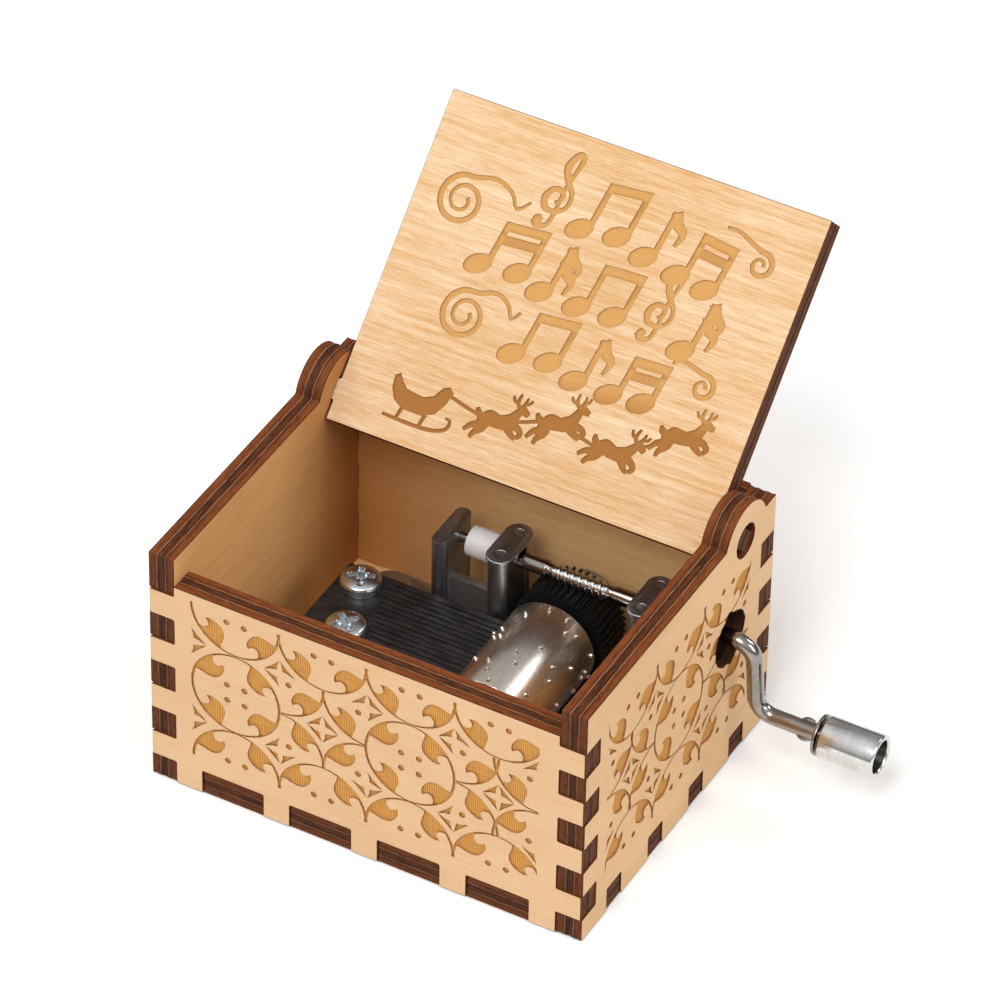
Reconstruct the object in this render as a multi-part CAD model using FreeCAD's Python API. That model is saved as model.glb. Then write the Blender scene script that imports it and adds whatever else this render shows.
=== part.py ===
import FreeCAD, Part
import math
import os

# Hand crank music box: a finger-jointed plywood box with a lid that turns on two square tabs,
# holding a small comb movement whose worm shaft is bent outside into a crank with a free knob.
# Millimetres. Origin: centre of the box's bottom face. +X right (crank side), +Y back, +Z up.
# The lid stands open on the back panel and the crank arm hangs down.

Vector = FreeCAD.Vector
x_axis = Vector(1, 0, 0)
y_axis = Vector(0, 1, 0)
z_axis = Vector(0, 0, 1)

# --- box ---
box_w = 64.0
box_d = 50.9
ply = 3.75
side_h = 38.0
back_h = 38.15
front_h = 33.7
finger_start = 3.6
finger_pitch = 4.07
finger_pairs = 4
front_tab_w = 9.15
front_tab_pitch = 13.13
side_tab_w = 3.8
side_tab_pitch = 11.15
tabs_per_side = 4

# --- lid ---
hinge_y = 16.95
hinge_z = 36.17
ear_r = 5.7
lid_gap = 0.25
lid_front = 42.4
lid_rear = 4.15
lid_open_deg = 135.6
tab_w = 3.0
tab_recess = 0.3
hinge_hole_r = 2.46

# --- crank shaft ---
shaft_y = 13.65
shaft_z = 22.2
rod_r = 1.15
pin_r = 0.7
pin_start = -9.3
rod_start = -6.4
bush_r = 2.2
crank_x = 35.6
arm_y = 1.3
arm_drop = 12.0
bend_r = 2.8
crank_hole_r = 4.0
crank_hole_z = 22.0
shaft_clearance = 0.05

# --- knob ---
washer_x = 45.0
washer_t = 0.4
washer_r = 2.85
knob_start = 45.8
knob_end = 53.9
knob_r = 3.0
knob_bore_r = 2.27
knob_floor = 2.2
rivet_r = 1.75
rivet_t = 0.8
rivet_round = 0.5
knob_round = 0.3
ear_start = 41.9
ear_end = 44.3
ear_reach = 1.62
ear_thick = 0.8
ear_tilt_deg = 44.0

# --- worm and wheel ---
wheel_teeth = 40
wheel_x = 8.5
wheel_z = 14.6
wheel_r = 6.8
worm_crest_r = 1.3
worm_root_r = 0.92
mesh_gap = 0.08
worm_turns = 10
thread_root_overlap = 0.12
crest_w = 0.22
flank_tan = math.tan(math.radians(20))
centre_distance = shaft_z - wheel_z
wheel_root_r = centre_distance - worm_crest_r - mesh_gap
worm_pitch_r = (worm_crest_r + worm_root_r - mesh_gap) / 2 + mesh_gap
wheel_pitch_r = centre_distance - worm_pitch_r
worm_pitch = 2 * math.pi * wheel_pitch_r / wheel_teeth
wheel_w = 6.2
wheel_hub_r = 3.0

# --- cylinder ---
shell_front = -9.05
shell_back = 8.75
shell_r = 6.42
shell_t = 0.5
pin_reach = 0.32
pin_size = 0.2
tune_steps = 32
flange_r = 6.0
flange_t = 1.2
flange_spigot = 1.2
front_cap_inset = 0.3
front_cap_t = 1.0
front_hub_r = 2.0
front_hub_reach = 0.6
arbor_r = 0.9
arbor_front = -13.0
arbor_back = 20.3
hub_gap = 0.02
bearing_gap = 0.05
spigot_r = shell_r - shell_t - hub_gap

# --- comb ---
teeth = 18
tooth_pitch = 0.95
slot_w = 0.25
comb_front = -8.75
comb_back = comb_front + teeth * tooth_pitch
comb_left = -21.7
comb_tip = 1.7
root_back_x = -16.0
root_front_x = -10.3
comb_top = 15.6
heel_t = 1.0
tooth_t = 0.55
relief_lean = 0.3
comb_screw_places = [(-18.1, 4.95), (-15.2, -4.05)]
comb_screw_head_r = 2.8
comb_screw_head_h = 2.0
comb_screw_r = 1.25
comb_screw_end = 9.6
comb_screw_round = 0.8
comb_cross = (1.7, 0.35)
comb_cross_depth = 1.1
comb_hole_gap = 0.2
weights = 7
weight_x = -1.6
weight_len = 2.4
weight_h = 1.3
weight_step = 0.08
weight_gap = 0.02

# --- cast frame ---
plate_top = 6.0
plate_left = -22.4
plate_right = 23.2
plate_front = -12.6
plate_back = 19.7
plate_corner = 2.0
post_front = 8.95
post_back = 17.15
post_top = 24.0
left_post = (-10.2, -8.0)
mid_post = (-2.0, 1.2)
end_post = (19.0, 22.0)
web_top = 17.5
web_front = 10.6
web_back = 11.9
cap_t = 0.7
cap_lip = 0.3
peg_r = 0.7
peg_gap = 0.04
pin_hole_depth = 1.6
platform_inset = 0.4
root_inset = 0.5
front_wall = (-12.25, -10.05)
back_wall = (17.55, 19.55)
wall_half = 4.3

# --- mounting screws ---
base_screw_places = [(-18.6, 13.6), (-18.9, -6.4), (20.2, -6.0)]
base_screw_r = 1.1
base_screw_head_r = 2.2
base_screw_end = 8.4
base_screw_inset = 0.15
base_cross = (1.2, 0.25)
base_cross_depth = 0.7
base_hole_gap = 0.15
screw_hole_gap = 0.03
hole_below = 0.3
boss_r = 2.9
boss_top = 9.2


def block(x0, x1, y0, y1, z0, z1):
    return Part.makeBox(x1 - x0, y1 - y0, z1 - z0, Vector(x0, y0, z0))


def rod(radius, length, start, direction):
    return Part.makeCylinder(radius, length, start, direction)


def prism(points, height, direction):
    closed = points + [points[0]]
    return Part.Face(Part.makePolygon(closed)).extrude(direction * height)


def stadium(x0, x1, y0, y1, z0, z1):
    """Upright plate with round ends front and back."""
    r = (x1 - x0) / 2
    middle = (x0 + x1) / 2
    body = block(x0, x1, y0 + r, y1 - r, z0, z1)
    ends = [rod(r, z1 - z0, Vector(middle, y, z0), z_axis) for y in (y0 + r, y1 - r)]
    return body.multiFuse(ends).removeSplitter()


def end_edges(shape, x):
    """Edges that lie in the plane at this X."""
    return [e for e in shape.Edges if abs(e.BoundBox.XMin - x) < 0.01 and e.BoundBox.XLength < 0.01]


def centred(count, pitch):
    return [(i - (count - 1) / 2) * pitch for i in range(count)]


def finger_bands():
    """Heights at which the front and back panels reach out to the corners."""
    starts = [finger_start + 2 * i * finger_pitch for i in range(finger_pairs)]
    return [(z, z + finger_pitch) for z in starts]


def save(name, shape):
    shape.exportStep(os.path.join("parts", name + ".step"))


# Box panels

def cross_panel(y0, height):
    """Front or back panel: fingers at both ends, slots below for the base tabs."""
    inner = box_w / 2 - ply
    panel = block(-inner, inner, y0, y0 + ply, 0, height)
    fingers = [block(-box_w / 2, box_w / 2, y0, y0 + ply, z0, z1) for z0, z1 in finger_bands()]
    panel = panel.multiFuse(fingers).removeSplitter()
    for x in centred(tabs_per_side, front_tab_pitch):
        panel = panel.cut(block(x - front_tab_w / 2, x + front_tab_w / 2, y0 - 1, y0 + ply + 1, -1, ply))
    return panel


def side_panel(x0):
    """Side panel: notches for the fingers, slots for the base tabs, and the lid's ear."""
    half_d = box_d / 2
    panel = block(x0, x0 + ply, -half_d, half_d, 0, side_h)
    panel = panel.fuse(rod(ear_r, ply, Vector(x0, hinge_y, hinge_z), x_axis)).removeSplitter()
    for z0, z1 in finger_bands():
        for y in (-half_d, half_d - ply):
            panel = panel.cut(block(x0 - 1, x0 + ply + 1, y, y + ply, z0, z1))
    for y in centred(tabs_per_side, side_tab_pitch):
        panel = panel.cut(block(x0 - 1, x0 + ply + 1, y - side_tab_w / 2, y + side_tab_w / 2, -1, ply))
    return panel.cut(rod(hinge_hole_r, ply + 2, Vector(x0 - 1, hinge_y, hinge_z), x_axis))


def base_panel():
    inner_x = box_w / 2 - ply
    inner_y = box_d / 2 - ply
    tabs = []
    for x in centred(tabs_per_side, front_tab_pitch):
        tabs.append(block(x - front_tab_w / 2, x + front_tab_w / 2, -box_d / 2, box_d / 2, 0, ply))
    for y in centred(tabs_per_side, side_tab_pitch):
        tabs.append(block(-box_w / 2, box_w / 2, y - side_tab_w / 2, y + side_tab_w / 2, 0, ply))
    panel = block(-inner_x, inner_x, -inner_y, inner_y, 0, ply).multiFuse(tabs).removeSplitter()
    hole_r = base_screw_r + base_hole_gap
    sink_r = base_screw_head_r + base_screw_inset + base_hole_gap
    for x, y in base_screw_places:
        panel = panel.cut(rod(hole_r, ply + 2, Vector(x, y, -1), z_axis))
        panel = panel.cut(Part.makeCone(sink_r, hole_r, sink_r - hole_r, Vector(x, y, 0), z_axis))
    return panel


def lid():
    """The board closed, with its pivot tabs, then turned back to its open rest."""
    half = box_w / 2 - ply - lid_gap
    reach = box_w / 2 - tab_recess
    z0 = hinge_z - ply / 2
    z1 = hinge_z + ply / 2
    board = block(-half, half, hinge_y - lid_front, hinge_y + lid_rear, z0, z1)
    tabs = block(-reach, reach, hinge_y - tab_w / 2, hinge_y + tab_w / 2, z0, z1)
    whole = board.fuse(tabs).removeSplitter()
    whole.rotate(Vector(0, hinge_y, hinge_z), x_axis, -lid_open_deg)
    return whole


# Movement frame

def arbor_wall(y0, y1):
    """Upright wall with a round top and the arbor's bearing hole."""
    wall = block(wheel_x - wall_half, wheel_x + wall_half, y0, y1, ply, wheel_z)
    wall = wall.fuse(rod(wall_half, y1 - y0, Vector(wheel_x, y0, wheel_z), y_axis))
    return wall.cut(rod(arbor_r + bearing_gap, y1 - y0 + 2, Vector(wheel_x, y0 - 1, wheel_z), y_axis))


def open_bearing(x0, x1):
    """U-shaped slot that the shaft drops into from above."""
    slot_r = rod_r + shaft_clearance
    slot = rod(slot_r, x1 - x0 + 2, Vector(x0 - 1, shaft_y, shaft_z), x_axis)
    return slot.fuse(block(x0 - 1, x1 + 1, shaft_y - slot_r, shaft_y + slot_r, shaft_z, post_top + 1))


def peg_places(post):
    middle = (post[0] + post[1]) / 2
    inset = (post[1] - post[0]) / 2
    return [(middle, post_front + inset), (middle, post_back - inset)]


def comb_platform():
    points = [
        Vector(comb_left + platform_inset, comb_front + platform_inset, ply),
        Vector(root_front_x - root_inset, comb_front + platform_inset, ply),
        Vector(root_back_x - root_inset, comb_back - platform_inset, ply),
        Vector(comb_left + platform_inset, comb_back - platform_inset, ply),
    ]
    return prism(points, comb_top - heel_t - ply, z_axis)


def movement_frame():
    plate = block(plate_left, plate_right, plate_front, plate_back, ply, plate_top)
    uprights = [e for e in plate.Edges if e.BoundBox.ZLength > 1]
    plate = plate.makeFillet(plate_corner, uprights)
    bodies = [comb_platform(), arbor_wall(*front_wall), arbor_wall(*back_wall)]
    for post in (left_post, mid_post, end_post):
        bodies.append(stadium(post[0], post[1], post_front, post_back, ply, post_top))
    bodies.append(block(left_post[1] - 1, mid_post[0] + 1, web_front, web_back, ply, web_top))
    for x, y in base_screw_places:
        bodies.append(rod(boss_r, boss_top - ply, Vector(x, y, ply), z_axis))
    frame = plate.multiFuse(bodies).removeSplitter()
    for post in (mid_post, end_post):
        frame = frame.cut(open_bearing(*post))
        pegs = [rod(peg_r, cap_t, Vector(x, y, post_top), z_axis) for x, y in peg_places(post)]
        frame = frame.multiFuse(pegs)
    pin_hole = Vector(left_post[1] - pin_hole_depth, shaft_y, shaft_z)
    frame = frame.cut(rod(pin_r + shaft_clearance, pin_hole_depth, pin_hole, x_axis))
    for x, y in base_screw_places:
        hole_r = base_screw_r + screw_hole_gap
        frame = frame.cut(rod(hole_r, base_screw_end + hole_below, Vector(x, y, 0), z_axis))
    for x, y in comb_screw_places:
        bottom = Vector(x, y, comb_screw_end - hole_below)
        frame = frame.cut(rod(comb_screw_r + screw_hole_gap, comb_top - bottom.z, bottom, z_axis))
    return frame.removeSplitter()


def bearing_cap(post):
    cap = stadium(post[0] - cap_lip, post[1] + cap_lip, post_front - cap_lip, post_back + cap_lip,
                  post_top, post_top + cap_t)
    for x, y in peg_places(post):
        cap = cap.cut(rod(peg_r + peg_gap, cap_t + 2, Vector(x, y, post_top - 1), z_axis))
    return cap


# Comb and screws

def root_x(y):
    """X of the tooth roots, slanting from the long bass teeth at the back to the front."""
    share = (y - comb_front) / (comb_back - comb_front)
    return root_front_x + share * (root_back_x - root_front_x)


def comb():
    plate = block(comb_left, comb_tip, comb_front, comb_back, comb_top - heel_t, comb_top)
    relief = prism([
        Vector(root_x(comb_front - 1) + relief_lean, comb_front - 1, comb_top - heel_t - 1),
        Vector(comb_tip + 1, comb_front - 1, comb_top - heel_t - 1),
        Vector(comb_tip + 1, comb_back + 1, comb_top - heel_t - 1),
        Vector(root_x(comb_back + 1) + relief_lean, comb_back + 1, comb_top - heel_t - 1),
    ], 1 + heel_t - tooth_t, z_axis)
    slots = []
    for i in range(1, teeth):
        y = comb_front + i * tooth_pitch
        slots.append(block(root_x(y), comb_tip + 1, y - slot_w / 2, y + slot_w / 2, 0, comb_top + 1))
    hole_r = comb_screw_r + comb_hole_gap
    holes = [rod(hole_r, 4, Vector(x, y, comb_top - 3), z_axis) for x, y in comb_screw_places]
    return plate.cut(relief).cut(Part.makeCompound(slots)).cut(Part.makeCompound(holes))


def bass_weights():
    """Tuning weights under the tips of the longest teeth, shorter towards the treble."""
    blocks = []
    for i in range(weights):
        y = comb_back - (i + 0.5) * tooth_pitch
        half = (tooth_pitch - slot_w) / 2 - weight_gap
        shrink = 1 - weight_step * i
        z1 = comb_top - tooth_t
        blocks.append(block(weight_x, weight_x + weight_len * shrink, y - half, y + half,
                            z1 - weight_h * shrink, z1))
    return Part.makeCompound(blocks)


def comb_screw(x, y):
    """Pan-head screw with a tapered cross recess."""
    head = rod(comb_screw_head_r, comb_screw_head_h, Vector(x, y, comb_top), z_axis)
    top_edges = [e for e in head.Edges if abs(e.BoundBox.ZMin - comb_top - comb_screw_head_h) < 0.01
                 and e.BoundBox.ZLength < 0.01]
    head = head.makeFillet(comb_screw_round, top_edges)
    shank = rod(comb_screw_r, comb_top - comb_screw_end, Vector(x, y, comb_screw_end), z_axis)
    screw = head.fuse(shank).removeSplitter()
    recess_z = comb_top + comb_screw_head_h - comb_cross_depth
    for across, along in (comb_cross, comb_cross[::-1]):
        screw = screw.cut(block(x - across, x + across, y - along, y + along, recess_z, recess_z + 2))
    return screw


def base_screw(x, y):
    """Countersunk screw from below, its head just inside the base's lower face."""
    head_z = base_screw_inset
    cone_h = base_screw_head_r - base_screw_r
    head = Part.makeCone(base_screw_head_r, base_screw_r, cone_h, Vector(x, y, head_z), z_axis)
    shank = rod(base_screw_r, base_screw_end - head_z - cone_h, Vector(x, y, head_z + cone_h), z_axis)
    screw = head.fuse(shank).removeSplitter()
    for across, along in (base_cross, base_cross[::-1]):
        screw = screw.cut(block(x - across, x + across, y - along, y + along, -1, head_z + base_cross_depth))
    return screw


# Cylinder

def ring(outer, inner, y0, y1):
    solid = rod(outer, y1 - y0, Vector(wheel_x, y0, wheel_z), y_axis)
    return solid.cut(rod(inner, y1 - y0 + 2, Vector(wheel_x, y0 - 1, wheel_z), y_axis))


def tune():
    """Tooth and turn angle of every pin: a rising and falling run with a bass note on each fourth step."""
    notes = []
    for step in range(tune_steps):
        angle = 360.0 * step / tune_steps
        melody = (step * 5 + step // 8 * 3) % teeth
        notes.append((melody, angle))
        if step % 2 == 0:
            notes.append(((melody + 7) % teeth, angle + 3))
        if step % 4 == 0:
            notes.append((teeth - 1 - step // 4, angle + 1))
    return notes


def cylinder_shell():
    shell = ring(shell_r, shell_r - shell_t, shell_front, shell_back)
    pins = []
    for tooth, angle in tune():
        y = comb_front + (tooth + 0.5) * tooth_pitch
        turn = math.radians(angle)
        out = Vector(math.sin(turn), 0, math.cos(turn))
        start = Vector(wheel_x, y, wheel_z) + out * (shell_r - shell_t / 2)
        pins.append(rod(pin_size, shell_t / 2 + pin_reach, start, out))
    return shell.multiFuse(pins)


def cylinder_front_cap():
    back = shell_front + front_cap_inset + front_cap_t
    disc = ring(spigot_r, arbor_r + hub_gap, shell_front + front_cap_inset, back)
    hub = ring(front_hub_r, arbor_r + hub_gap, shell_front - front_hub_reach, back)
    return disc.fuse(hub).removeSplitter()


def cylinder_flange():
    flange = ring(flange_r, arbor_r + hub_gap, shell_back, shell_back + flange_t)
    spigot = ring(spigot_r, arbor_r + hub_gap, shell_back - flange_spigot, shell_back)
    return flange.fuse(spigot).removeSplitter()


def worm_wheel():
    """Helical teeth as a ruled loft between two turned outlines, throated to clear the worm's core."""
    wheel_y0 = shaft_y - wheel_w / 2
    lead_tan = worm_pitch / (2 * math.pi * worm_pitch_r)
    half_twist = wheel_w / 2 * lead_tan / wheel_pitch_r
    tip_half = crest_w / 2 / wheel_r
    root_half = (crest_w / 2 + (wheel_r - wheel_root_r) * flank_tan) / wheel_root_r
    outlines = []
    for y, twist in ((wheel_y0, -half_twist), (wheel_y0 + wheel_w, half_twist)):
        points = []
        for i in range(wheel_teeth):
            middle = 2 * math.pi * (i + 0.5) / wheel_teeth + twist
            for radius, offset in ((wheel_root_r, -root_half), (wheel_r, -tip_half),
                                   (wheel_r, tip_half), (wheel_root_r, root_half)):
                angle = middle + offset
                x = wheel_x + radius * math.sin(angle)
                points.append(Vector(x, y, wheel_z + radius * math.cos(angle)))
        outlines.append(Part.makePolygon(points + [points[0]]))
    wheel = Part.makeLoft(outlines, True, True)
    throat = Part.makeTorus(centre_distance, worm_root_r + mesh_gap,
                            Vector(wheel_x, shaft_y, wheel_z), y_axis)
    wheel = wheel.cut(throat)
    hub_y = shell_back + flange_t
    wheel = wheel.fuse(rod(wheel_hub_r, wheel_y0 - hub_y, Vector(wheel_x, hub_y, wheel_z), y_axis))
    return wheel.cut(rod(arbor_r + hub_gap, wheel_w + 4, Vector(wheel_x, hub_y - 1, wheel_z), y_axis))


# Crank

def bent_rod():
    """The shaft's plain run, two bends and the knob's journal, as one sweep."""
    lower_y = shaft_y + arm_y
    lower_z = shaft_z - arm_drop
    down = Vector(0, arm_y, -arm_drop).normalize()
    corner1 = Vector(crank_x, shaft_y, shaft_z)
    corner2 = Vector(crank_x, lower_y, lower_z)
    end = Vector(knob_start + knob_floor + mesh_gap, lower_y, lower_z)
    start = Vector(worm_end(), shaft_y, shaft_z)
    a = corner1 - x_axis * bend_r
    b = corner1 + down * bend_r
    c = corner2 - down * bend_r
    d = corner2 + x_axis * bend_r
    mid1 = corner1 + (down - x_axis) * bend_r * (1 - math.sqrt(0.5))
    mid2 = corner2 + (x_axis - down) * bend_r * (1 - math.sqrt(0.5))
    path = Part.Wire([
        Part.LineSegment(start, a).toShape(),
        Part.Arc(a, mid1, b).toShape(),
        Part.LineSegment(b, c).toShape(),
        Part.Arc(c, mid2, d).toShape(),
        Part.LineSegment(d, end).toShape(),
    ])
    section = Part.Wire(Part.Circle(start, x_axis, rod_r).toShape())
    return path.makePipeShell([section], True, False)


def worm_start():
    return wheel_x - worm_turns / 2 * worm_pitch


def worm_end():
    return wheel_x + worm_turns / 2 * worm_pitch


def worm_thread():
    """Right-hand thread whose ridge passes between two wheel teeth below the shaft."""
    helix = Part.makeHelix(worm_pitch, worm_turns * worm_pitch, worm_root_r)
    crest_half = crest_w / 2
    root_half = crest_half + (worm_crest_r - worm_root_r + thread_root_overlap) * flank_tan
    inner = worm_root_r - thread_root_overlap
    profile = Part.makePolygon([
        Vector(inner, 0, -root_half),
        Vector(worm_crest_r, 0, -crest_half),
        Vector(worm_crest_r, 0, crest_half),
        Vector(inner, 0, root_half),
        Vector(inner, 0, -root_half),
    ])
    thread = Part.Wire(helix).makePipeShell([profile], True, True)
    thread.rotate(Vector(0, 0, 0), y_axis, 90)
    thread.translate(Vector(worm_start(), shaft_y, shaft_z))
    return thread


def crank_rod():
    pin = rod(pin_r, rod_start - pin_start, Vector(pin_start, shaft_y, shaft_z), x_axis)
    journal = rod(rod_r, worm_start() - rod_start, Vector(rod_start, shaft_y, shaft_z), x_axis)
    core = rod(worm_root_r, worm_turns * worm_pitch, Vector(worm_start(), shaft_y, shaft_z), x_axis)
    lower = Vector(0, shaft_y + arm_y, shaft_z - arm_drop)
    rivet_x = knob_start + knob_floor + mesh_gap
    rivet = rod(rivet_r, rivet_t, lower + x_axis * rivet_x, x_axis)
    rivet = rivet.makeFillet(rivet_round, end_edges(rivet, rivet_x + rivet_t))
    ears = block(ear_start, ear_end, lower.y - ear_thick / 2, lower.y + ear_thick / 2,
                 lower.z - ear_reach, lower.z + ear_reach)
    ears.rotate(lower, x_axis, -ear_tilt_deg)
    plain = bent_rod().multiFuse([journal, pin, core, rivet, ears])
    return plain.fuse(worm_thread())


def shaft_bush():
    start = rod_start
    length = mid_post[0] - cap_lip - 0.1 - start
    bush = rod(bush_r, length, Vector(start, shaft_y, shaft_z), x_axis)
    return bush.cut(rod(rod_r + hub_gap, length + 2, Vector(start - 1, shaft_y, shaft_z), x_axis))


def knob_place(x):
    return Vector(x, shaft_y + arm_y, shaft_z - arm_drop)


def knob_washer():
    washer = rod(washer_r, washer_t, knob_place(washer_x), x_axis)
    return washer.cut(rod(rod_r + hub_gap, washer_t + 2, knob_place(washer_x - 1), x_axis))


def knob_barrel():
    barrel = rod(knob_r, knob_end - knob_start, knob_place(knob_start), x_axis)
    floor_x = knob_start + knob_floor
    barrel = barrel.cut(rod(knob_bore_r, knob_end - floor_x + 1, knob_place(floor_x), x_axis))
    barrel = barrel.cut(rod(rod_r + shaft_clearance, knob_floor + 2, knob_place(knob_start - 1), x_axis))
    return barrel.makeFillet(knob_round, end_edges(barrel, knob_end))


os.makedirs("parts", exist_ok=True)
half_w = box_w / 2
half_d = box_d / 2
save("base_panel", base_panel())
save("front_panel", cross_panel(-half_d, front_h))
save("back_panel", cross_panel(half_d - ply, back_h))
save("left_panel", side_panel(-half_w))
crank_hole = rod(crank_hole_r, ply + 2, Vector(half_w - ply - 1, shaft_y, crank_hole_z), x_axis)
save("right_panel", side_panel(half_w - ply).cut(crank_hole))
save("lid", lid())
save("movement_frame", movement_frame())
save("mid_bearing_cap", bearing_cap(mid_post))
save("end_bearing_cap", bearing_cap(end_post))
save("comb", comb())
save("bass_weights", bass_weights())
save("comb_screws", Part.makeCompound([comb_screw(x, y) for x, y in comb_screw_places]))
save("base_screws", Part.makeCompound([base_screw(x, y) for x, y in base_screw_places]))
save("cylinder_shell", cylinder_shell())
save("cylinder_front_cap", cylinder_front_cap())
save("cylinder_flange", cylinder_flange())
save("cylinder_arbor", rod(arbor_r, arbor_back - arbor_front, Vector(wheel_x, arbor_front, wheel_z), y_axis))
save("worm_wheel", worm_wheel())
save("crank_rod", crank_rod())
save("shaft_bush", shaft_bush())
save("knob_washer", knob_washer())
save("knob_barrel", knob_barrel())
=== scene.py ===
import math
import random

import bmesh
import bpy
from mathutils import Matrix, Vector
from mathutils.geometry import delaunay_2d_cdt


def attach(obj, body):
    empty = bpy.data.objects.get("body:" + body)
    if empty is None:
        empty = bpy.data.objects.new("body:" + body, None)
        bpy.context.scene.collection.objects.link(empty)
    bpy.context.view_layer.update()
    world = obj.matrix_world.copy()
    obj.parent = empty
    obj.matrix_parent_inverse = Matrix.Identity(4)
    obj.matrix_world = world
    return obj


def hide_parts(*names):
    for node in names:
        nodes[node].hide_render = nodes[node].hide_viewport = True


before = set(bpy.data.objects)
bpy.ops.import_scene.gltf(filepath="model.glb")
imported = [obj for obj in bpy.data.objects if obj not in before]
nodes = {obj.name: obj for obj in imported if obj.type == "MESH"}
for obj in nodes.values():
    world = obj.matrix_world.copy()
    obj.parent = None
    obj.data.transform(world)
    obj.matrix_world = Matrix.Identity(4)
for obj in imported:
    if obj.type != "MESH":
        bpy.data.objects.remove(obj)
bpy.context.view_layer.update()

mm = 0.001

# sizes that several pieces share, in millimetres
box = dict(halfWide=32.0, halfDeep=25.45, ply=3.75, hingeY=16.95, hingeZ=36.17, lidOpen=135.6)
shaft = dict(y=13.65, z=22.2, radius=1.15)
wheel = dict(x=8.5, z=14.6)


# camera, light and floor
stage = dict(azimuth=28.53, elevation=40.15, roll=1.14, distance=0.948, lens=260.8,
             target=(-0.0037, 0.0163, 0.0283), lightAim=(0, 0, 0.02), floorSize=3.0, floorDrop=0.0002,
             sky=0.86, skyShades=((0.0, 0.3), (0.12, 0.42), (0.45, 0.95), (1.0, 1.1)), exposure=0.0,
             lights=[("key_light", (0.12, -0.92, 1.22), (0.55, 0.7), 12.0),
                     ("side_light", (1.15, -0.1, 0.7), (0.5, 0.7), 4.0),
                     ("left_light", (-1.1, -0.55, 0.9), (0.6, 0.7), 5.2),
                     ("back_light", (0.62, 0.82, 0.78), (0.3, 0.55), 3.5)])


def linked(name, data):
    piece = bpy.data.objects.new(name, data)
    bpy.context.scene.collection.objects.link(piece)
    return piece


def aimed(place, target, roll=0.0):
    turn = (Vector(target) - Vector(place)).to_track_quat("-Z", "Y").to_matrix().to_4x4()
    return Matrix.Translation(place) @ turn @ Matrix.Rotation(math.radians(roll), 4, "Z")


def makeCamera():
    lens = bpy.data.cameras.new("camera")
    lens.lens = stage["lens"]
    lens.clip_start = 0.01
    lens.clip_end = 20
    camera = linked("camera", lens)
    side, rise = math.radians(stage["azimuth"]), math.radians(stage["elevation"])
    away = Vector((math.sin(side) * math.cos(rise), -math.cos(side) * math.cos(rise), math.sin(rise)))
    target = Vector(stage["target"])
    camera.matrix_world = aimed(target + away * stage["distance"], target, stage["roll"])
    bpy.context.scene.camera = camera


def makeSoftbox(name, place, size, power):
    light = bpy.data.lights.new(name, "AREA")
    light.shape = "RECTANGLE"
    light.size, light.size_y = size
    light.energy = power
    linked(name, light).matrix_world = aimed(place, stage["lightAim"])


def makeSky():
    world = bpy.data.worlds.new("studio")
    bpy.context.scene.world = world
    world.use_nodes = True
    tree = world.node_tree
    # dim walls and a bright ceiling, so that metal has something to mirror
    depth, height = parted(tree, addNode(tree, "TexCoord").outputs["Generated"])[1:]
    shade = ramp(tree, height, [(place, (grey,) * 3) for place, grey in stage["skyShades"]])
    behind = spread(tree, depth, -0.2, 0.6, 1.0, 0.4)
    shade = blendColour(tree, 1.0, shade, behind, "MULTIPLY")
    tree.links.new(shade, tree.nodes["Background"].inputs["Color"])
    tree.nodes["Background"].inputs["Strength"].default_value = stage["sky"]


def makeFloor():
    half, low = stage["floorSize"] / 2, -stage["floorDrop"]
    mesh = bpy.data.meshes.new("studio_floor")
    mesh.from_pydata([(-half, -half, low), (half, -half, low), (half, half, low), (-half, half, low)],
                     [], [(0, 1, 2, 3)])
    material, tree, shader = newMaterial("pale_floor", rough=0.9)
    cloud = noise(tree, objectSpot(tree), 0.05, 2.0)
    paint(tree, shader, blendColour(tree, cloud, (0.93, 0.93, 0.93), (0.95, 0.95, 0.95)))
    mesh.materials.append(material)
    linked("studio_floor", mesh)


# small helpers for node materials
def newMaterial(name, rough=0.5, metal=0.0):
    material = bpy.data.materials.new(name)
    material.use_nodes = True
    shader = material.node_tree.nodes["Principled BSDF"]
    shader.inputs["Roughness"].default_value = rough
    shader.inputs["Metallic"].default_value = metal
    return material, material.node_tree, shader


def setSocket(tree, socket, value):
    if hasattr(value, "links"):
        tree.links.new(value, socket)
    else:
        socket.default_value = value


def addNode(tree, kind, **inputs):
    node = tree.nodes.new("ShaderNode" + kind)
    for key, value in inputs.items():
        setSocket(tree, node.inputs[key], value)
    return node


def mathNode(tree, operation, a, b=0.0, clamp=False):
    node = tree.nodes.new("ShaderNodeMath")
    node.operation = operation
    node.use_clamp = clamp
    setSocket(tree, node.inputs[0], a)
    setSocket(tree, node.inputs[1], b)
    return node.outputs[0]


def plus(tree, a, b, clamp=False):
    return mathNode(tree, "ADD", a, b, clamp)


def times(tree, a, b):
    return mathNode(tree, "MULTIPLY", a, b)


def vectorNode(tree, operation, vector, amount):
    node = tree.nodes.new("ShaderNodeVectorMath")
    node.operation = operation
    setSocket(tree, node.inputs[0], vector)
    node.inputs[1].default_value = amount
    return node.outputs[0]


def noise(tree, vector, scale, detail=3.0, rough=0.5):
    return addNode(tree, "TexNoise", Vector=vector, Scale=scale, Detail=detail, Roughness=rough).outputs["Fac"]


def streaky(tree, vector, stretch, detail=3.0, rough=0.5):
    return noise(tree, vectorNode(tree, "MULTIPLY", vector, stretch), 1.0, detail, rough)


def ramp(tree, value, stops):
    node = addNode(tree, "ValToRGB", Fac=value)
    band = node.color_ramp
    while len(band.elements) < len(stops):
        band.elements.new(0.5)
    for element, (place, colour) in zip(band.elements, stops):
        element.position = place
        element.color = (*colour, 1)
    return node.outputs["Color"]


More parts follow.
